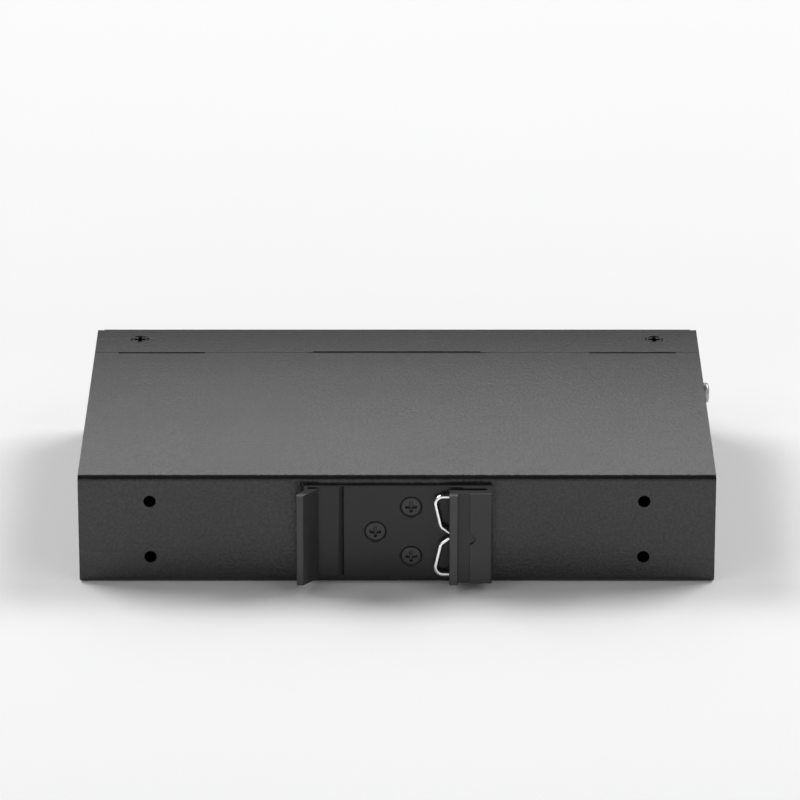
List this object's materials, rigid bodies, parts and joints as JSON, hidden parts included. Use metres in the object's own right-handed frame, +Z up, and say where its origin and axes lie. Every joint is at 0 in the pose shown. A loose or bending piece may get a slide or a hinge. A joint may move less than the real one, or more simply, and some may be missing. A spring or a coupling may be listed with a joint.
{
  "type": "media converter",
  "caption": "Slim folded-metal network media converter with a sprung rail clip on its rear wall and its ports on the front panel.",
  "frame": {"origin": "middle of the case's underside, the large side that it lies on", "axes": "+X along the case, up when it hangs on a rail; -Y out of the rear wall with the rail clip; +Z up, across the case's thin side"},
  "size_m": [0.1571, 0.1179, 0.0277],
  "materials": {
    "case_paint": "fine black powder coat",
    "clip_black": "black anodised, satin",
    "spring_steel": "bright drawn wire",
    "black_steel": "black finish, satin",
    "plated_steel": "zinc plated",
    "board_green": "solder mask",
    "shield_metal": "tin plated",
    "black_plastic": "moulded",
    "contact_gold": "plated",
    "clear_plastic": "clear moulded",
    "lamp_lens": "clear",
    "terminal_green": "moulded",
    "chip_black": "moulded",
    "sink_aluminium": "plain",
    "ferrite": "sintered",
    "coil_tape": "film tape",
    "capacitor_sleeve": "shrink sleeve",
    "fuse_ceramic": "ceramic"
  },
  "bodies": {
    "housing": {"cover": "case_paint", "front_chassis": "case_paint", "din_clip": "clip_black", "cover_screws": "black_steel", "clip_screws": "black_steel", "clip_nuts": "plated_steel", "wall_mount_nuts": "plated_steel", "earth_screw": "plated_steel", "earth_spring_washer": "plated_steel", "earth_washer": "plated_steel", "earth_nut": "plated_steel", "standoffs": "plated_steel", "board_screws": "plated_steel", "terminal_clamps": "plated_steel", "terminal_screws": "plated_steel", "circuit_board": "board_green", "network_jack_shield": "shield_metal", "fibre_cage": "shield_metal", "crystal": "shield_metal", "network_jack_insert": "black_plastic", "fibre_connector": "black_plastic", "network_jack_contacts": "contact_gold", "terminal_pins": "contact_gold", "light_pipe": "clear_plastic", "indicator_leds": "lamp_lens", "terminal_header": "terminal_green", "terminal_plug": "terminal_green", "converter_chip": "chip_black", "line_transformer": "chip_black", "chip_heat_sink": "sink_aluminium", "transformer_core": "ferrite", "power_inductor": "ferrite", "transformer_coil": "coil_tape", "capacitors": "capacitor_sleeve", "input_fuse": "fuse_ceramic"},
    "spring": {"clip_spring": "spring_steel"}
  },
  "joints": [
    {"name": "spring_press", "type": "slide", "parent": "housing", "child": "spring", "axis": [1, 0, 0], "range_m": [0, 0.005], "stiffness_N_per_m": 2500}
  ]
}
